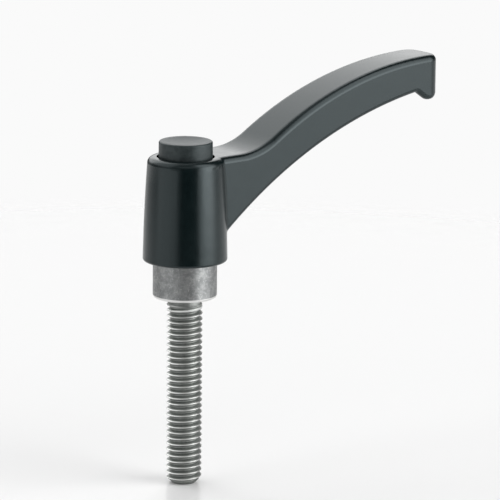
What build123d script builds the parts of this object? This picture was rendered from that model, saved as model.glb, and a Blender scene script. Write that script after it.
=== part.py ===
from build123d import *
from math import cos, radians, sin
import os

os.makedirs("parts", exist_ok=True)

# A clamping lever with a push button. The die-cast lever drives a toothed sleeve, the sleeve
# drives the serrated insert, and the insert turns the stud that clamps. Holding the button
# down slides the sleeve off the insert's teeth, so the arm swings free to a better place.
# Millimetres. The origin is the middle of the collar's clamping face: the stud runs down -Z
# and the arm reaches out along +X.

# Fits and gaps
running_gap = 0.06  # radial, between the lever and what turns or slides in it
tooth_gap = 0.06  # all round a tooth in its groove
seat_gap = 0.05  # axial, between faces of two bodies that all but touch

# Stud: M6 x 1, thread rolled on a blank of the pitch diameter
thread_radius = 3.0
shank_radius = 2.675
stud_length = 32.0
stud_runout = 0.9
stud_tip_chamfer = 1.0
stud_grip = 8.5

# Serrated insert
collar_radius = 5.38
collar_height = 6.28  # the length that shows under the hub
collar_edge = 0.5
guide_depth = 5.0  # the length that the hub turns on
stud_countersink = 0.6
neck_radius = 2.6
head_root_radius = 3.1
head_tip_radius = 3.5
head_length = 1.7
spring_room = 5.7

# Serration
tooth_count = 24
tooth_slope = 68.0
head_tooth_width = 0.62
sleeve_tooth_width = 0.86

# Coupling sleeve
sleeve_root_radius = 4.51
sleeve_tip_radius = 4.95
sleeve_bore_radius = 3.65
socket_radius = 4.05  # the ring that the button is pushed onto
socket_height = 1.3
button_stroke = 2.2
stroke_end_gap = 0.2

# Push button
button_top_radius = 4.5
button_draft = 0.06
button_proud = 2.65
button_roof = 1.9
button_edge = 0.3
dish_radius = 3.7
dish_depth = 0.35
snap_radius = 0.14
snap_height = 0.65

# Return spring
spring_radius = 3.12
wire_radius = 0.22
spring_turns = 4.5

# Retaining screw M3, and the washer that stops the sleeve
screw_radius = 1.5
screw_length = 6.0
screw_hole_depth = 6.8
screw_head_radius = 2.75
screw_head_height = 1.7
hex_across_flats = 2.0
hex_depth = 1.0
washer_radius = 3.5
washer_thickness = 0.5
washer_bore_radius = 1.6

# Snap ring between insert and hub
ring_radius = 5.4
ring_wire_radius = 0.32
ring_opening = 30.0
ring_height = 2.5  # above the hub's lower face

# Lever: hub
hub_height = 17.62
hub_bottom_radius = 7.1
hub_top_radius = 6.34
hub_bulge = 0.12
hub_bottom_edge = 0.4
button_bore_radius = 4.86
tooth_overrun = 0.5
bore_chamfer = 0.3

# Lever: arm
arm_reach = 52.6
arm_root_width = 9.5
arm_tip_width = 8.1
arm_flat = 8.6  # level with the hub's top as far as this
arm_sweep_radius = 12.8
arm_slope = 32.6
arm_tip_flat = 1.4
arm_root_start = 3.0  # the arm's outline begins inside the hub's wall
arm_root_drop = 15.0  # and its underside there is this far below the hub's top
arm_tip_thickness = 6.15
underside_radius = 85.6
nose_length = 5.4
nose_depth = 1.6
nose_flat = 3.1
nose_notch_round = 0.8
nose_round = 2.2
arm_end_round = 2.5
top_edge = 1.1
underside_edge = 0.8
junction_round = 1.0
hollow_start = 14.0
hollow_depth = 2.0
hollow_wall = 0.9  # left beside the hollow and at the arm's end
hollow_round = 1.5

# Heights that several pieces share
hub_bottom = collar_height
hub_top = hub_bottom + hub_height
collar_top = hub_bottom + guide_depth
sleeve_bottom = collar_top + stroke_end_gap + button_stroke
sleeve_shoulder = collar_top + spring_room
sleeve_tooth_top = sleeve_shoulder + head_length
head_top = sleeve_tooth_top + seat_gap
socket_top = sleeve_tooth_top + socket_height
washer_top = head_top + washer_thickness
button_top = hub_top + button_proud
ring_level = hub_bottom + ring_height
groove_top = sleeve_tooth_top + tooth_overrun


def serration(root_radius, tip_radius, tooth_width, gap):
    """A disc with teeth round it, grown by the gap where it is the cutter for a mating bore."""
    foot = 0.15
    height = tip_radius - root_radius + foot + gap
    with BuildSketch() as outline:
        Circle(root_radius + gap)
        with PolarLocations(tip_radius + gap - height / 2, tooth_count):
            Trapezoid(tooth_width + 2 * gap, height, tooth_slope, rotation=-90)
    return outline.sketch


head_teeth = serration(head_root_radius, head_tip_radius, head_tooth_width, 0)
head_socket = serration(head_root_radius, head_tip_radius, head_tooth_width, tooth_gap)
sleeve_teeth = serration(sleeve_root_radius, sleeve_tip_radius, sleeve_tooth_width, 0)
hub_grooves = serration(sleeve_root_radius, sleeve_tip_radius, sleeve_tooth_width, tooth_gap)

# Threaded stud. The thread is shown by its major diameter.
with BuildPart() as threaded_stud:
    with BuildSketch(Plane.XZ):
        with BuildLine():
            Polyline(
                (0, stud_grip),
                (shank_radius, stud_grip),
                (shank_radius, -stud_runout),
                (thread_radius, -stud_runout - (thread_radius - shank_radius)),
                (thread_radius, -stud_length),
                (0, -stud_length),
                close=True,
            )
        make_face()
    revolve(axis=Axis.Z)
    chamfer(threaded_stud.edges().group_by(Axis.Z)[0], stud_tip_chamfer)
    chamfer(threaded_stud.edges().group_by(Axis.Z)[-1], stud_tip_chamfer / 4)

# Serrated insert: clamping collar, neck and toothed head in one piece
with BuildPart() as serrated_insert:
    Cylinder(collar_radius, collar_top, align=(Align.CENTER, Align.CENTER, Align.MIN))
    fillet(serrated_insert.edges().group_by(Axis.Z)[0], collar_edge)
    chamfer(serrated_insert.edges().group_by(Axis.Z)[-1], bore_chamfer)
    with BuildSketch(Plane.XY.offset(collar_top)):
        Circle(neck_radius)
    extrude(amount=head_top - head_length - collar_top)
    with BuildSketch(Plane.XY.offset(head_top - head_length)):
        add(head_teeth)
    extrude(amount=head_length)
    with BuildSketch(Plane.XZ):
        with Locations((ring_radius, ring_level)):
            Rectangle(2 * (ring_wire_radius + seat_gap), 2 * (ring_wire_radius + seat_gap))
    revolve(axis=Axis.Z, mode=Mode.SUBTRACT)
    with Locations(Plane.XY.offset(head_top)):
        Hole(screw_radius, screw_hole_depth)
    with Locations(Plane.XY.rotated((180, 0, 0))):
        CounterSinkHole(shank_radius, shank_radius + stud_countersink, stud_grip + seat_gap, 90)

# Stop washer on the head: the sleeve rises against it
with BuildPart() as stop_washer:
    with BuildSketch(Plane.XY.offset(head_top)):
        Circle(washer_radius)
        Circle(washer_bore_radius, mode=Mode.SUBTRACT)
    extrude(amount=washer_thickness)

# Retaining screw: low round head with a hexagon socket
with BuildPart() as retaining_screw:
    with BuildSketch(Plane.XY.offset(washer_top)):
        Circle(screw_head_radius)
    extrude(amount=screw_head_height)
    fillet(retaining_screw.edges().group_by(Axis.Z)[-1], screw_head_height / 3)
    with BuildSketch(Plane.XY.offset(washer_top)):
        Circle(screw_radius)
    extrude(amount=-screw_length)
    chamfer(retaining_screw.edges().group_by(Axis.Z)[0], screw_radius / 5)
    with BuildSketch(Plane.XY.offset(washer_top + screw_head_height)):
        RegularPolygon(hex_across_flats / 2, 6, major_radius=False)
    extrude(amount=-hex_depth, mode=Mode.SUBTRACT)

# Coupling sleeve: outer teeth in the hub, inner teeth on the insert's head
with BuildPart() as coupling_sleeve:
    with BuildSketch(Plane.XY.offset(sleeve_bottom)):
        add(sleeve_teeth)
    extrude(amount=sleeve_tooth_top - sleeve_bottom)
    with BuildSketch(Plane.XY.offset(sleeve_tooth_top)):
        Circle(socket_radius)
    extrude(amount=socket_height)
    with BuildSketch(Plane.XY.offset(sleeve_shoulder)):
        add(head_socket)
    extrude(amount=head_length, mode=Mode.SUBTRACT)
    with BuildSketch(Plane.XY.offset(sleeve_bottom)):
        Circle(sleeve_bore_radius)
    extrude(amount=spring_room - (sleeve_bottom - collar_top), mode=Mode.SUBTRACT)
    with BuildSketch(Plane.XY.offset(sleeve_tooth_top)):
        Circle(sleeve_bore_radius)
    extrude(amount=socket_height, mode=Mode.SUBTRACT)
    with BuildSketch(Plane.XZ):
        with Locations((socket_radius, sleeve_tooth_top + snap_height)):
            Circle(snap_radius + seat_gap)
    revolve(axis=Axis.Z, mode=Mode.SUBTRACT)

# Push button: a drafted cup, dished for the thumb, snapped over the sleeve's upper ring
with BuildPart() as push_button:
    button_foot = sleeve_tooth_top + seat_gap
    with BuildSketch(Plane.XZ):
        with BuildLine():
            dish = ThreePointArc(
                (-dish_radius, button_top), (0, button_top - dish_depth), (dish_radius, button_top)
            )
            rim = Line(dish @ 1, (button_top_radius, button_top))
            side = Line(rim @ 1, (button_top_radius + button_draft, button_foot))
            foot = Line(side @ 1, (socket_radius, button_foot))
            socket = Line(foot @ 1, (socket_radius, socket_top))
            seat = Line(socket @ 1, (sleeve_bore_radius, socket_top))
            wall = Line(seat @ 1, (sleeve_bore_radius, button_top - button_roof))
            roof = Line(wall @ 1, (-sleeve_bore_radius, button_top - button_roof))
            Line(roof @ 1, dish @ 0)
        make_face()
        with Locations((-2 * button_top_radius, button_top)):
            Rectangle(4 * button_top_radius, 4 * button_top, mode=Mode.SUBTRACT)
    revolve(axis=Axis.Z)
    fillet(push_button.edges().filter_by(GeomType.CIRCLE).group_by(Axis.Z)[-1], button_edge)
    with BuildSketch(Plane.XZ):
        with Locations((socket_radius, sleeve_tooth_top + snap_height)):
            Circle(snap_radius)
    revolve(axis=Axis.Z)

# Return spring, ground flat at both ends
with BuildPart() as return_spring:
    with BuildLine():
        coil = Helix(spring_room / spring_turns, spring_room, spring_radius, center=(0, 0, collar_top))
    with BuildSketch(Plane(origin=coil @ 0, z_dir=coil % 0)):
        Circle(wire_radius)
    sweep(path=coil, is_frenet=True)
    with BuildSketch(Plane.XY.offset(collar_top)):
        Circle(2 * spring_radius)
    extrude(amount=spring_room, mode=Mode.INTERSECT)

# Snap ring: an open wire ring, half in the collar's groove and half in the hub's
with BuildPart() as retaining_ring:
    with BuildLine():
        ring = CenterArc((0, 0, ring_level), ring_radius, ring_opening / 2, 360 - ring_opening)
    with BuildSketch(Plane(origin=ring @ 0, z_dir=ring % 0)):
        Circle(ring_wire_radius)
    sweep(path=ring)

# Lever arm: its side outline cut to its tapering plan, the lower edges rounded
crown_radius = (arm_reach - arm_tip_flat - arm_flat) / sin(radians(arm_slope)) - arm_sweep_radius
tip_top = hub_top + (arm_sweep_radius + crown_radius) * (1 - cos(radians(arm_slope)))
notch_height = tip_top - arm_tip_thickness

with BuildPart() as arm:
    with BuildSketch(Plane.XZ) as side:
        with BuildLine():
            level = Line((arm_root_start, hub_top), (arm_flat, hub_top))
            rise = JernArc(level @ 1, level % 1, arm_sweep_radius, arm_slope)
            crown = JernArc(rise @ 1, rise % 1, crown_radius, -arm_slope)
            end = Polyline(
                crown @ 1,
                (arm_reach, tip_top),
                (arm_reach, notch_height - nose_depth),
                (arm_reach - nose_flat, notch_height - nose_depth),
                (arm_reach - nose_length, notch_height),
            )
            root = (arm_root_start, hub_top - arm_root_drop)
            underside = RadiusArc(end @ 1, root, -underside_radius)
            Line(underside @ 1, level @ 0)
        make_face()
    extrude(amount=arm_root_width, both=True)
    notch = arm.edges().filter_by(Axis.Y).sort_by_distance((arm_reach - nose_length, 0, notch_height))
    fillet(notch[0], nose_notch_round)
    nose_foot = (arm_reach - nose_flat / 2, 0, notch_height - nose_depth)
    fillet(arm.edges().filter_by(Axis.Y).sort_by_distance(nose_foot)[:2], nose_round)
    with BuildSketch(Plane.XY) as plan:
        with BuildLine():
            Polyline(
                (arm_root_start, -arm_root_width / 2),
                (arm_reach, -arm_tip_width / 2),
                (arm_reach, arm_tip_width / 2),
                (arm_root_start, arm_root_width / 2),
                close=True,
            )
        make_face()
        fillet(plan.vertices().group_by(Axis.X)[-1], arm_end_round)
    extrude(amount=2 * tip_top, mode=Mode.INTERSECT)
    low_faces = arm.faces().filter_by(lambda face: face.normal_at().Z < -0.5)
    fillet(low_faces.edges() - arm.edges().filter_by(Axis.Y), underside_edge)

# The shallow hollow under the arm, which leaves a rim along both sides and round the nose
with BuildPart() as hollow:
    with BuildSketch(Plane.XZ):
        with BuildLine():
            lift = Vector(0, hollow_depth)
            hollow_roof = RadiusArc(underside @ 0 + lift, underside @ 1 + lift, -underside_radius)
            Polyline(
                hollow_roof @ 0,
                (arm_reach, notch_height + hollow_depth),
                (arm_reach, 0),
                (arm_root_start, 0),
                hollow_roof @ 1,
            )
        make_face()
    extrude(amount=arm_root_width, both=True)
    with BuildSketch(Plane.XY) as hollow_plan:
        with BuildLine():
            Polyline(
                (hollow_start, -arm_root_width / 2 + hollow_wall),
                (arm_reach - hollow_wall, -arm_tip_width / 2 + hollow_wall),
                (arm_reach - hollow_wall, arm_tip_width / 2 - hollow_wall),
                (hollow_start, arm_root_width / 2 - hollow_wall),
                close=True,
            )
        make_face()
        fillet(hollow_plan.vertices(), hollow_round)
    extrude(amount=2 * tip_top, mode=Mode.INTERSECT)

# Lever: hub and arm cast in one, bored for the collar, the toothed sleeve and the button
with BuildPart() as lever:
    with BuildSketch(Plane.XZ):
        with BuildLine():
            base = Line((0, hub_bottom), (hub_bottom_radius, hub_bottom))
            flank = SagittaArc(base @ 1, (hub_top_radius, hub_top), -hub_bulge)
            Polyline(flank @ 1, (0, hub_top), (0, hub_bottom))
        make_face()
    revolve(axis=Axis.Z)
    fillet(lever.edges().group_by(Axis.Z)[0], hub_bottom_edge)
    add(arm.part)
    fillet(lever.edges(Select.NEW), junction_round)
    top_faces = lever.faces().filter_by(lambda face: face.normal_at().Z > 0.5)
    fillet(top_faces.edges() - lever.edges().filter_by(Axis.Y), top_edge)
    add(hollow.part, mode=Mode.SUBTRACT)

    with BuildSketch(Plane.XY.offset(hub_bottom)):
        Circle(collar_radius + running_gap)
    extrude(amount=guide_depth + seat_gap, mode=Mode.SUBTRACT)
    with BuildSketch(Plane.XY.offset(collar_top + seat_gap)):
        add(hub_grooves)
    extrude(amount=groove_top - collar_top - seat_gap, mode=Mode.SUBTRACT)
    with BuildSketch(Plane.XY.offset(groove_top)):
        Circle(button_bore_radius)
    extrude(amount=button_proud + hub_top - groove_top, mode=Mode.SUBTRACT)
    with BuildSketch(Plane.XZ):
        with Locations((ring_radius, ring_level)):
            Rectangle(2 * (ring_wire_radius + running_gap), 2 * (ring_wire_radius + seat_gap))
    revolve(axis=Axis.Z, mode=Mode.SUBTRACT)
    mouth = lever.edges().filter_by(GeomType.CIRCLE).group_by(Axis.Z)[0]
    chamfer(mouth.sort_by(SortBy.RADIUS)[0], bore_chamfer)

pieces = {
    "threaded_stud": threaded_stud,
    "serrated_insert": serrated_insert,
    "stop_washer": stop_washer,
    "retaining_screw": retaining_screw,
    "retaining_ring": retaining_ring,
    "coupling_sleeve": coupling_sleeve,
    "return_spring": return_spring,
    "push_button": push_button,
    "lever": lever,
}
for name, piece in pieces.items():
    piece.part.label = name
    export_step(piece.part, f"parts/{name}.step")
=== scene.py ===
import math

import bmesh
import bpy
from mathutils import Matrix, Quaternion, Vector


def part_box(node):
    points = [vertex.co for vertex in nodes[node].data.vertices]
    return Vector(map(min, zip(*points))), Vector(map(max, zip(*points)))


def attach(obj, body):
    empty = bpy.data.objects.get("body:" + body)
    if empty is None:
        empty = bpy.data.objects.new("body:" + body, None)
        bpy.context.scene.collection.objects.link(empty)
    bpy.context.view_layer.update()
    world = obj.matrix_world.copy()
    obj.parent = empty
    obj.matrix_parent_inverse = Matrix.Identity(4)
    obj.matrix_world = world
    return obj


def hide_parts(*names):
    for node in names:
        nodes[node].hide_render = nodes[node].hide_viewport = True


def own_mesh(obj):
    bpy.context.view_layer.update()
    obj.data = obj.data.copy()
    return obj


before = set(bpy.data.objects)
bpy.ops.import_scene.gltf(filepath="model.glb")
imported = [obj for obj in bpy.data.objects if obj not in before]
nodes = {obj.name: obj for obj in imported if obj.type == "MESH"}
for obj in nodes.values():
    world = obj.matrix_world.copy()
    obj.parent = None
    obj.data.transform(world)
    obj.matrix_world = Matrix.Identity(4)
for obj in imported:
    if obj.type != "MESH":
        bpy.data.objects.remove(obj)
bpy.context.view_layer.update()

# adjustable clamping lever: metres, the stud along -Z, the arm along +X
mm = 0.001
near = 0.01 * mm        # points closer than this count as one place
print("frame loaded:", ", ".join(sorted(nodes)))


# helpers
def deselectAll():
    if bpy.context.object and bpy.context.object.mode != "OBJECT":
        bpy.ops.object.mode_set(mode="OBJECT")
    bpy.ops.object.select_all(action="DESELECT")


def choose(piece):
    deselectAll()
    piece.select_set(True)
    bpy.context.view_layer.objects.active = piece


def newPiece(name):
    # the primitive just added, named and with its place in its mesh
    piece = bpy.context.object
    piece.name = name
    piece.data.name = name
    bpy.ops.object.transform_apply(location=True, rotation=True, scale=True)
    return piece


def pickPoints(piece, test):
    # in edit mode: selects the points that pass the test
    bpy.ops.mesh.select_mode(type="VERT")
    bpy.ops.mesh.select_all(action="DESELECT")
    work = bmesh.from_edit_mesh(piece.data)
    for point in work.verts:
        point.select = test(point.co)
    work.select_flush_mode()
    bmesh.update_edit_mesh(piece.data)


def addModifier(piece, kind, **settings):
    # adds a modifier and applies it at once
    choose(piece)
    modifier = piece.modifiers.new(kind.title(), kind)
    for key, value in settings.items():
        setattr(modifier, key, value)
    bpy.ops.object.modifier_apply(modifier=modifier.name)


def closeAndTurnOut(piece, sides):
    # fills the open ends, which have this many sides, and turns all faces outwards
    choose(piece)
    bpy.ops.object.mode_set(mode="EDIT")
    bpy.ops.mesh.select_all(action="SELECT")
    bpy.ops.mesh.fill_holes(sides=sides)
    bpy.ops.mesh.select_all(action="SELECT")
    bpy.ops.mesh.normals_make_consistent(inside=False)
    bpy.ops.object.mode_set(mode="OBJECT")


def smooth(piece, degrees):
    # smooth shading, with creases sharper than this angle kept
    choose(piece)
    bpy.ops.object.shade_smooth_by_angle(angle=math.radians(degrees))


def copyOfNode(name, newName):
    # a CAD solid's mesh as a piece of its own, its loose triangles joined
    piece = nodes[name].copy()
    piece.data = nodes[name].data.copy()
    piece.name = newName
    piece.data.name = newName
    for key in list(piece.keys()):
        del piece[key]
    piece.parent = None
    bpy.context.scene.collection.objects.link(piece)
    choose(piece)
    if piece.data.has_custom_normals:
        bpy.ops.mesh.customdata_custom_splitnormals_clear()
    bpy.ops.object.mode_set(mode="EDIT")
    bpy.ops.mesh.select_all(action="SELECT")
    bpy.ops.mesh.remove_doubles(threshold=0.0005 * mm)
    bpy.ops.object.mode_set(mode="OBJECT")
    return piece


def paint(piece, material):
    if not piece.data.materials:
        piece.data.materials.append(material)
    for place in piece.material_slots:
        place.material = material


class Wire:
    # a node's output; sums written with it become Math nodes
    def __init__(self, tree, socket=None):
        self.tree = tree
        self.socket = socket

    def node(self, kind, settings=None, values=None, out=0):
        made = self.tree.nodes.new(kind)
        for key, value in (settings or {}).items():
            setattr(made, key, value)
        for key, value in (values or {}).items():
            if isinstance(value, Wire):
                self.tree.links.new(value.socket, made.inputs[key])
            else:
                made.inputs[key].default_value = value
        return Wire(self.tree, made.outputs[out])

    def maths(self, operation, *terms):
        return self.node("ShaderNodeMath", {"operation": operation}, dict(enumerate(terms)))

    def __add__(self, other): return self.maths("ADD", self, other)
    def __radd__(self, other): return self.maths("ADD", other, self)
    def __sub__(self, other): return self.maths("SUBTRACT", self, other)
    def __rsub__(self, other): return self.maths("SUBTRACT", other, self)
    def __mul__(self, other): return self.maths("MULTIPLY", self, other)
    def __rmul__(self, other): return self.maths("MULTIPLY", other, self)
    def __pow__(self, other): return self.maths("POWER", self, other)
    def __abs__(self): return self.maths("ABSOLUTE", self)
    def most(self, other): return self.maths("MAXIMUM", self, other)

    def ease(self, start, end):
        # 0 before start, 1 after end, smooth between
        return self.node("ShaderNodeMapRange", {"interpolation_type": "SMOOTHSTEP"},
                         {"Value": self, "From Min": start, "From Max": end})

    def blend(self, first, second):
        # two colours mixed by this value
        return self.node("ShaderNodeMix", {"data_type": "RGBA"}, {0: self, 6: first, 7: second}, 2)

    def parts(self):
        split = self.node("ShaderNodeSeparateXYZ", None, {0: self}).socket.node
        return [Wire(self.tree, socket) for socket in split.outputs]

    def plug(self, socket):
        self.tree.links.new(self.socket, socket)


def colour(red, green, blue):
    return (red, green, blue, 1)


def grey(level):
    return colour(level, level, level)


def newMaterial(name):
    # a material, the place of each point on the piece, and the Principled shader
    material = bpy.data.materials.new(name)
    material.use_nodes = True
    tree = material.node_tree
    place = Wire(tree).node("ShaderNodeTexCoord", None, None, "Object")
    return material, place, tree.nodes["Principled BSDF"]


def emptyTree(owner):
    # a material's or world's nodes, cleared, and the output's Surface socket
    owner.use_nodes = True
    tree = owner.node_tree
    tree.nodes.clear()
    kind = "ShaderNodeOutputMaterial" if isinstance(owner, bpy.types.Material) else "ShaderNodeOutputWorld"
    return Wire(tree), tree.nodes.new(kind).inputs["Surface"]


def roundAxis(place):
    # the distance from the stud's axis, and the height
    x, y, z = place.parts()
    return (x * x + y * y) ** 0.5, z


def tones(amount, settings):
    # from the finish's dark tone to its light one
    return amount.blend(colour(*settings["dark"]), colour(*settings["light"]))


def grain(place, size, detail=2.0, rough=0.5, stretch=None):
    # noise whose spots are about this many millimetres across
    if stretch:
        place = place.node("ShaderNodeMapping", None, {"Vector": place, "Scale": stretch})
    return place.node("ShaderNodeTexNoise", None,
                      {"Vector": place, "Scale": 1 / (size * mm), "Detail": detail, "Roughness": rough})


def relief(pattern, height, under=None):
    # bumps this many millimetres high, over those of another relief
    values = {"Height": pattern, "Distance": height * mm, "Strength": 1.0}
    if under:
        values["Normal"] = under
    return pattern.node("ShaderNodeBump", None, values)


# camera: target and distance in millimetres, turns in degrees
camera = {
    "target": (8.446, -6.798, 8.076),
    "distance": 765.47,
    "azimuth": -38.831,
    "elevation": 12.387,
    "roll": 0.5615,
    "lens": 330.11,
    "sensor": 36,
    "clip": (0.01, 10),
}


def setCamera(settings):
    turn = math.radians(settings["azimuth"])
    rise = math.radians(settings["elevation"])
    back = Vector((math.sin(turn) * math.cos(rise), -math.cos(turn) * math.cos(rise), math.sin(rise)))
    eye = bpy.data.objects.new("camera", bpy.data.cameras.new("camera"))
    bpy.context.scene.collection.objects.link(eye)
    eye.data.sensor_width = settings["sensor"]
    eye.data.lens = settings["lens"]
    eye.data.clip_start, eye.data.clip_end = settings["clip"]
    eye.location = (Vector(settings["target"]) + back * settings["distance"]) * mm
    eye.rotation_mode = "QUATERNION"
    level = (-back).to_track_quat("-Z", "Y")
    eye.rotation_quaternion = level @ Quaternion((0, 0, 1), math.radians(settings["roll"]))
    bpy.context.scene.camera = eye


setCamera(camera)
bpy.context.scene.view_settings.view_transform = "Standard"
print("camera set")

# studio: a dark room with a white ground and soft panels. In degrees: "at" is azimuth, from
# the front, and elevation, "half" is half the width and height, and "soft" is the edge's fade
studio = {
    "turn": -38.0,
    "white": 0.956,
    "dim": 0.06,
    "ground": {"at": (180, -90), "half": (138, 80), "soft": 8, "light": 0.9},
    "panels": {
        "back window": {"at": (-164, 39), "half": (36, 30), "soft": 14, "light": 1.66},
        "back glow": {"at": (180, 9), "half": (16, 5), "soft": 6, "light": 0.8},
        "right strip": {"at": (67, -9), "half": (21, 19), "soft": 32, "light": 3.7},
        "right window": {"at": (74, 34), "half": (26, 32), "soft": 24, "light": 2.4},
        "right wall": {"at": (125, -6), "half": (30, 9), "soft": 16, "light": 0.45},
        "left strip": {"at": (-52, -3), "half": (31, 10), "soft": 20, "light": 1.1},
        "left wall": {"at": (-112, -4), "half": (36, 8), "soft": 16, "light": 0.3},
        "left window": {"at": (-92, 46), "half": (46, 28), "soft": 26, "light": 1.1},
        "front window": {"at": (8, 40), "half": (42, 20), "soft": 26, "light": 0.5},
        # wider than half a turn: it goes all round
        "ceiling": {"at": (0, 90), "half": (400, 14), "soft": 20, "light": 0.6},
    },
}


def setStudio(settings):
    world = bpy.data.worlds.new("studio")
    bpy.context.scene.world = world
    wire, surface = emptyTree(world)
    east, north, up = wire.node("ShaderNodeTexCoord", None, None, "Generated").parts()
    azimuth = wire.maths("ARCTAN2", east, 0 - north) * (180 / math.pi)
    elevation = wire.maths("ARCSINE", up) * (180 / math.pi)

    def patch(panel):
        # 1 inside the panel, 0 outside, eased over its soft edge
        side, height = panel["at"]
        halfWidth, halfHeight = panel["half"]
        fade = panel["soft"] / 2
        aside = abs(wire.maths("WRAP", azimuth - (side + settings["turn"]), 180.0, -180.0))
        above = abs(elevation - height)
        across = aside.ease(halfWidth + fade, halfWidth - fade)
        return across * above.ease(halfHeight + fade, halfHeight - fade)

    ground = patch(settings["ground"])
    light = settings["dim"] + ground * settings["ground"]["light"]
    for panel in settings["panels"].values():
        light = light + patch(panel) * panel["light"]
    seen, glossy, through = (wire.node("ShaderNodeLightPath", None, None, kind)
                             for kind in ("Is Camera Ray", "Is Glossy Ray", "Is Transmission Ray"))
    # polished metal shows the white ground too, and the dark room over it
    plain = seen.most(through).most(glossy * ground)
    white = wire.node("ShaderNodeBackground", None, {"Color": grey(settings["white"]), "Strength": 1.0})
    soft = wire.node("ShaderNodeBackground", None, {"Color": grey(1), "Strength": light})
    wire.node("ShaderNodeMixShader", None, {0: plain, 1: soft, 2: white}).plug(surface)


setStudio(studio)
print("studio lit")

# the table: white, faintly glossy, fading into the white backdrop. Millimetres; its middle
# lies "behind" the stud, and the fade runs from "solid" to "edge", shares of the radius
table = {
    "radius": 200, "sides": 96, "solid": 0.78, "edge": 0.98, "behind": 46, "gap": 0.02,
    "white": 0.81, "glow": 0.05, "gloss": 0.10, "rough": 0.16,
}


def makeTable(settings):
    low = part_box("threaded_stud")[0].z
    turn = math.radians(studio["turn"])
    centre = Vector((-math.sin(turn), math.cos(turn), 0)) * settings["behind"] * mm
    radius = settings["radius"] * mm
    deselectAll()
    bpy.ops.mesh.primitive_circle_add(vertices=settings["sides"], radius=radius, fill_type="NGON",
                                      location=(centre.x, centre.y, low - settings["gap"] * mm))
    disc = newPiece("table_top")
    material = bpy.data.materials.new("white table")
    wire, surface = emptyTree(material)
    place = wire.node("ShaderNodeTexCoord", None, None, "Object")
    reach = wire.node("ShaderNodeVectorMath", {"operation": "DISTANCE"}, {0: place, 1: centre}, "Value")
    fade = reach.ease(settings["solid"] * radius, settings["edge"] * radius)
    flat = wire.node("ShaderNodeBsdfDiffuse", None, {"Color": grey(settings["white"])})
    glow = wire.node("ShaderNodeEmission", None, {"Color": grey(1), "Strength": settings["glow"]})
    lit = wire.node("ShaderNodeAddShader", None, {0: flat, 1: glow})
    gloss = wire.node("ShaderNodeBsdfAnisotropic", None, {"Color": grey(1), "Roughness": settings["rough"]})
    face = wire.node("ShaderNodeMixShader", None, {0: settings["gloss"], 1: lit, 2: gloss})
    clear = wire.node("ShaderNodeBsdfTransparent", None, {"Color": grey(1)})
    wire.node("ShaderNodeMixShader", None, {0: fade, 1: face, 2: clear}).plug(surface)
    paint(disc, material)


makeTable(table)
print("table laid")


# finishes: sizes and heights in millimetres
coating = {
    "dark": (0.0008, 0.0044, 0.0050),
    "light": (0.0016, 0.0060, 0.0066),
    "sheen": (0.86, 1.0, 1.03),
    "index": 1.5,
    "roughness": 0.23,
    "cloudSize": 1.6,
    "cloudRoughness": 0.10,
    "grainSize": 0.30,
    "grainHeight": 0.0024,
    "waveSize": 5.0,
    "waveHeight": 0.012,
}
bareBore = {
    "dark": (0.36, 0.37, 0.38),
    "light": (0.50, 0.51, 0.52),
    "radius": 5.7,
    "radiusFade": 0.05,
    "topFade": 0.1,
    "addedRoughness": 0.1,
    "turningSize": 0.25,
    "turningStretch": (0.02, 0.02, 1.0),
}


def makeCoating(settings, bore):
    # satin black coat on the zinc casting; the turned bores are bare metal
    material, place, shader = newMaterial("satin black die-cast coating")
    fine = grain(place, settings["grainSize"], 3.0, 0.6)
    wave = grain(place, settings["waveSize"], 1.0)
    cloud = grain(place, settings["cloudSize"], 3.0, 0.6)
    coat = tones(cloud.ease(0.3, 0.7), settings)
    radius, z = roundAxis(place)
    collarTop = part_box("return_spring")[0].z
    inBore = radius.ease((bore["radius"] + bore["radiusFade"]) * mm, bore["radius"] * mm)
    lowBore = z.ease(collarTop + bore["topFade"] * mm, collarTop)
    bare = inBore * lowBore
    metal = tones(grain(place, bore["turningSize"], 2.0, 0.5, bore["turningStretch"]), bore)
    bare.blend(coat, metal).plug(shader.inputs["Base Color"])
    bare.plug(shader.inputs["Metallic"])
    rough = settings["roughness"] + (cloud - 0.5) * settings["cloudRoughness"]
    (rough + bare * bore["addedRoughness"]).plug(shader.inputs["Roughness"])
    swell = relief(wave, settings["waveHeight"])
    relief(fine, settings["grainHeight"], swell).plug(shader.inputs["Normal"])
    shader.inputs["IOR"].default_value = settings["index"]
    shader.inputs["Specular Tint"].default_value = colour(*settings["sheen"])
    return material


buttonPlastic = {
    "dark": (0.0150, 0.0205, 0.0215),
    "light": (0.0300, 0.0380, 0.0390),
    "sheen": (0.88, 1.0, 1.02),
    "index": 1.49,
    "roughness": 0.43,
    "cloudSize": 0.8,
    "cloudRoughness": 0.18,
    "grainSize": 0.20,
    "grainHeight": 0.0045,
}


def makeButtonPlastic(settings):
    # black moulded plastic with a fine eroded grain
    material, place, shader = newMaterial("black moulded button plastic")
    fine = grain(place, settings["grainSize"], 3.0, 0.6)
    cloud = grain(place, settings["cloudSize"], 3.0)
    tones(cloud.ease(0.35, 0.65), settings).plug(shader.inputs["Base Color"])
    rough = settings["roughness"] + (cloud - 0.5) * settings["cloudRoughness"]
    rough.plug(shader.inputs["Roughness"])
    relief(fine, settings["grainHeight"]).plug(shader.inputs["Normal"])
    shader.inputs["IOR"].default_value = settings["index"]
    shader.inputs["Specular Tint"].default_value = colour(*settings["sheen"])
    return material


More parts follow.
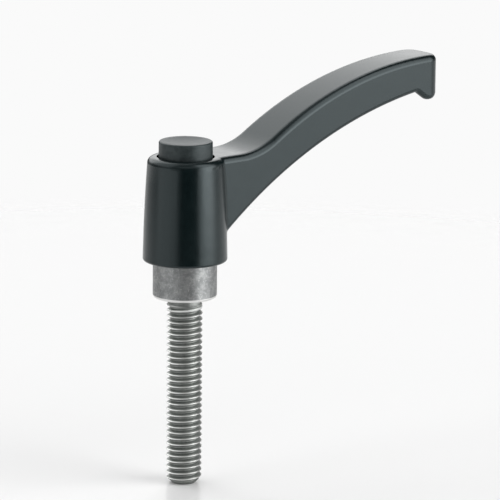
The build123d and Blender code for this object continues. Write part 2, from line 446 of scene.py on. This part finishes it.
sintered = {
    "dark": (0.215, 0.222, 0.224),
    "light": (0.345, 0.353, 0.351),
    "fleck": (0.52, 0.525, 0.52),
    "pit": (0.09, 0.09, 0.09),
    # edge round the clamping face: partly tumbling burnish, partly painted highlight
    "painted_highlight": (0.80, 0.80, 0.79),
    "rim": {"radius": 4.9, "width": 0.12, "height": 0.50, "soft": 0.08},
    "roughness": 0.42,
    "moundRoughness": 0.25,
    "poreRoughness": 0.2,
    "moundSize": 0.36,
    "moundHeight": 0.006,
    "patchSize": 1.3,
    "patchHeight": 0.012,
    "poreSize": 0.22,
}


def makeSintered(settings):
    # tumbled sintered steel: mottled, with small bright flecks and open pores
    material, place, shader = newMaterial("tumbled sintered steel")
    mound = grain(place, settings["moundSize"], 3.0, 0.7)
    patch = grain(place, settings["patchSize"], 3.0, 0.6)
    cells = place.node("ShaderNodeTexVoronoi", {"feature": "F1"},
                       {"Vector": place, "Scale": 1 / (settings["poreSize"] * mm), "Randomness": 1.0},
                       "Distance")
    pore = cells.ease(0.22, 0.05) * patch.ease(0.52, 0.62)
    fleck = mound.ease(0.60, 0.72)
    body = tones((patch * 0.6 + mound * 0.4).ease(0.36, 0.66), settings)
    bright = (fleck * 0.8).blend(body, colour(*settings["fleck"]))
    pitted = (pore * 0.5).blend(bright, colour(*settings["pit"]))
    # the edge round the clamping face is painted lighter: partly burnish from tumbling, partly a painted
    # highlight
    radius, z = roundAxis(place)
    rim = settings["rim"]
    edge = radius.ease(rim["radius"] * mm, (rim["radius"] + rim["width"]) * mm)
    edge = edge * z.ease((rim["height"] + rim["soft"]) * mm, (rim["height"] - rim["soft"]) * mm)
    edge.blend(pitted, colour(*settings["painted_highlight"])).plug(shader.inputs["Base Color"])
    shader.inputs["Metallic"].default_value = 1.0
    rough = settings["roughness"] + (0.5 - mound) * settings["moundRoughness"]
    (rough + pore * settings["poreRoughness"]).plug(shader.inputs["Roughness"])
    swell = relief(patch, settings["patchHeight"])
    relief(mound, settings["moundHeight"], swell).plug(shader.inputs["Normal"])
    return material


zinc = {
    "dark": (0.26, 0.275, 0.262),
    "light": (0.33, 0.345, 0.332),
    # painted highlight along the thread's crests
    "painted_highlight": (0.72, 0.735, 0.715),
    "crest": (2.79, 2.93),
    "roughness": 0.52,
    "polish": 0.16,
    "cloudRoughness": 0.10,
    "grainRoughness": 0.06,
    "grainSize": 0.5,
    "cloudSize": 2.2,
    "cloudHeight": 0.004,
}


def makeZinc(settings):
    # matt zinc plate, faintly clouded, smoother along the thread's crests, where a painted highlight
    # lightens the colour
    material, place, shader = newMaterial("zinc plated steel")
    fine = grain(place, settings["grainSize"], 3.0, 0.6)
    cloud = grain(place, settings["cloudSize"], 2.0)
    inner, outer = settings["crest"]
    crest = roundAxis(place)[0].ease(inner * mm, outer * mm)
    dull = tones((fine * 0.5 + cloud * 0.5).ease(0.35, 0.65), settings)
    # the crests get a painted highlight: a lighter colour than the flanks
    crest.blend(dull, colour(*settings["painted_highlight"])).plug(shader.inputs["Base Color"])
    shader.inputs["Metallic"].default_value = 1.0
    rough = settings["roughness"] + (0.5 - cloud) * settings["cloudRoughness"]
    rough = rough + (fine - 0.5) * settings["grainRoughness"]
    (rough - crest * settings["polish"]).plug(shader.inputs["Roughness"])
    relief(cloud, settings["cloudHeight"]).plug(shader.inputs["Normal"])
    return material


hardened = {
    "dark": (0.075, 0.068, 0.062),
    "light": (0.16, 0.15, 0.14),
    "roughness": 0.34,
    "cloudRoughness": 0.2,
    "cloudSize": 1.4,
    "grainSize": 0.2,
    "grainHeight": 0.002,
}


def makeHardened(settings):
    # oiled case-hardened steel, grey brown
    material, place, shader = newMaterial("oiled hardened steel")
    cloud = grain(place, settings["cloudSize"], 4.0, 0.6)
    fine = grain(place, settings["grainSize"], 2.0)
    tones(cloud.ease(0.35, 0.68), settings).plug(shader.inputs["Base Color"])
    shader.inputs["Metallic"].default_value = 1.0
    rough = settings["roughness"] + (cloud - 0.5) * settings["cloudRoughness"]
    rough.plug(shader.inputs["Roughness"])
    relief(fine, settings["grainHeight"]).plug(shader.inputs["Normal"])
    return material


springWire = {
    "dark": (0.30, 0.30, 0.295),
    "light": (0.46, 0.46, 0.45),
    "roughness": 0.25,
    "lineRoughness": 0.2,
    "lineSize": 0.12,
    "lineStretch": (0.15, 0.15, 1.0),
    "lineHeight": 0.0015,
    "cloudSize": 1.0,
}


def makeSpringWire(settings):
    # drawn spring wire with fine die lines
    material, place, shader = newMaterial("drawn spring wire")
    lines = grain(place, settings["lineSize"], 2.0, 0.5, settings["lineStretch"])
    cloud = grain(place, settings["cloudSize"], 2.0)
    tones((lines * 0.6 + cloud * 0.4).ease(0.35, 0.65), settings).plug(shader.inputs["Base Color"])
    shader.inputs["Metallic"].default_value = 1.0
    rough = settings["roughness"] + (lines - 0.5) * settings["lineRoughness"]
    rough.plug(shader.inputs["Roughness"])
    relief(lines, settings["lineHeight"]).plug(shader.inputs["Normal"])
    return material


zincMaterial = makeZinc(zinc)
springMaterial = makeSpringWire(springWire)
finishes = {
    "lever": makeCoating(coating, bareBore),
    "push_button": makeButtonPlastic(buttonPlastic),
    "serrated_insert": makeSintered(sintered),
    "threaded_stud": zincMaterial,
    "stop_washer": zincMaterial,
    "retaining_screw": zincMaterial,
    "coupling_sleeve": makeHardened(hardened),
    "return_spring": springMaterial,
    "retaining_ring": springMaterial,
}
for name, material in finishes.items():
    paint(nodes[name], material)
print("finishes on", len(finishes), "solids")

# rolled thread, millimetres
thread = {
    "pitch": 1.0,
    # the outline of the groove: radius, and how wide it is there
    "profile": [(2.387, 0.17), (2.87, 0.728), (2.94, 0.824), (2.98, 0.910), (3.015, 0.985)],
    "firstRoot": -0.124,
    "turns": 32,
    "stepsPerTurn": 64,
    "fadeTurns": 0.7,
    "neck": {"radius": 2.82, "top": -0.05, "length": 2.0, "sides": 96},
    "crease": 50,
}


def drawGroove(settings, start):
    # the groove's outline as a loop of edges in the XZ plane
    profile = settings["profile"]
    middle = profile[len(profile) // 2][0] * mm
    deselectAll()
    bpy.ops.mesh.primitive_grid_add(x_subdivisions=len(profile) - 1, y_subdivisions=1, size=1 * mm,
                                    location=(middle, 0, start), rotation=(math.pi / 2, 0, 0))
    groove = newPiece("thread_groove")
    columns = sorted({round(point.co.x, 7) for point in groove.data.vertices})
    bpy.ops.object.mode_set(mode="EDIT")
    for column, (_, width) in zip(columns, profile):
        pickPoints(groove, lambda at: abs(at.x - column) < near)
        bpy.ops.transform.resize(value=(1, 1, width), center_override=(column, 0, start))
    for column, (radius, width) in zip(columns, profile):
        # marked by their heights, because the columns pass each other on the way
        pickPoints(groove, lambda at: abs(abs(at.z - start) - width * mm / 2) < near)
        bpy.ops.transform.translate(value=(radius * mm - column, 0, 0))
    bpy.ops.mesh.select_all(action="SELECT")
    bpy.ops.mesh.delete(type="ONLY_FACE")
    bpy.ops.mesh.select_mode(type="EDGE")
    bpy.ops.mesh.select_all(action="DESELECT")
    work = bmesh.from_edit_mesh(groove.data)
    for edge in work.edges:       # the ribs across the middle go
        one, other = (point.co for point in edge.verts)
        upright = abs(one.x - other.x) < near
        inner = profile[0][0] * mm + near < one.x < profile[-1][0] * mm - near
        edge.select = upright and inner
    bmesh.update_edit_mesh(groove.data)
    bpy.ops.mesh.delete(type="EDGE")
    bpy.ops.object.mode_set(mode="OBJECT")
    return groove


def runOut(groove, settings, start):
    # over its last part of a turn, under the collar, the groove leaves the stud
    pitch = settings["pitch"] * mm
    depth = (settings["profile"][-1][0] - settings["profile"][0][0]) * mm
    fadeFrom = settings["turns"] - settings["fadeTurns"]
    for point in groove.data.vertices:
        # how many turns along the helix this point is, and how far it has run out
        angle = math.atan2(point.co.y, point.co.x) / (2 * math.pi)
        turn = round((point.co.z - start) / pitch - angle) + angle
        out = max(0.0, turn - fadeFrom) / settings["fadeTurns"]
        radius = math.hypot(point.co.x, point.co.y)
        grown = radius + depth * min(1.0, out)
        point.co.x *= grown / radius
        point.co.y *= grown / radius


def cutThread(settings):
    # a helical groove with rolled, rounded crests, sunk in a copy of the plain stud
    start = (settings["firstRoot"] - (settings["turns"] + 1) * settings["pitch"]) * mm
    groove = drawGroove(settings, start)
    corners = len(groove.data.vertices)
    addModifier(groove, "SCREW", axis="Z", angle=2 * math.pi, screw_offset=settings["pitch"] * mm,
                iterations=settings["turns"], steps=settings["stepsPerTurn"],
                render_steps=settings["stepsPerTurn"], use_smooth_shade=False)
    closeAndTurnOut(groove, corners)
    runOut(groove, settings, start)
    stud = copyOfNode("threaded_stud", "stud_thread")
    # the rolled-out neck is a little fuller than the blank under the collar
    neck = settings["neck"]
    deselectAll()
    bpy.ops.mesh.primitive_cylinder_add(vertices=neck["sides"], radius=neck["radius"] * mm,
                                        depth=neck["length"] * mm,
                                        location=(0, 0, (neck["top"] - neck["length"] / 2) * mm))
    filler = newPiece("stud_neck")
    addModifier(stud, "BOOLEAN", operation="UNION", solver="EXACT", object=filler)
    bpy.data.objects.remove(filler)
    addModifier(stud, "BOOLEAN", operation="DIFFERENCE", solver="EXACT", object=groove)
    bpy.data.objects.remove(groove)
    smooth(stud, settings["crease"])
    paint(stud, zincMaterial)
    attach(stud, "insert")
    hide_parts("threaded_stud")
    print("thread cut:", len(stud.data.polygons), "faces")


cutThread(thread)

# return spring, millimetres
spring = {
    "wire": 0.22, "radius": 3.12, "turns": 4.5, "stroke": 2.2,
    "stepsPerTurn": 40, "sides": 14, "crease": 40,
}


def windSpring(settings):
    low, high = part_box("return_spring")
    room = high.z - low.z
    deselectAll()
    bpy.ops.mesh.primitive_circle_add(vertices=settings["sides"], radius=settings["wire"] * mm,
                                      fill_type="NOTHING", location=(settings["radius"] * mm, 0, low.z),
                                      rotation=(math.pi / 2, 0, 0))
    coil = newPiece("spring_coil")
    steps = int(settings["turns"] * settings["stepsPerTurn"])
    addModifier(coil, "SCREW", axis="Z", angle=2 * math.pi * settings["turns"], screw_offset=room,
                iterations=1, steps=steps, render_steps=steps)
    closeAndTurnOut(coil, settings["sides"])
    bpy.ops.object.mode_set(mode="EDIT")
    for height, side in ((low.z, -1), (high.z, 1)):     # both ends are ground flat
        bpy.ops.mesh.select_all(action="SELECT")
        bpy.ops.mesh.bisect(plane_co=(0, 0, height), plane_no=(0, 0, side), use_fill=True, clear_outer=True)
    bpy.ops.mesh.select_all(action="SELECT")
    bpy.ops.mesh.normals_make_consistent(inside=False)
    bpy.ops.object.mode_set(mode="OBJECT")
    smooth(coil, settings["crease"])
    paint(coil, springMaterial)
    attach(coil, "insert")
    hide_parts("return_spring")
    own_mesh(coil)
    print("spring wound:", len(coil.data.polygons), "faces")


windSpring(spring)
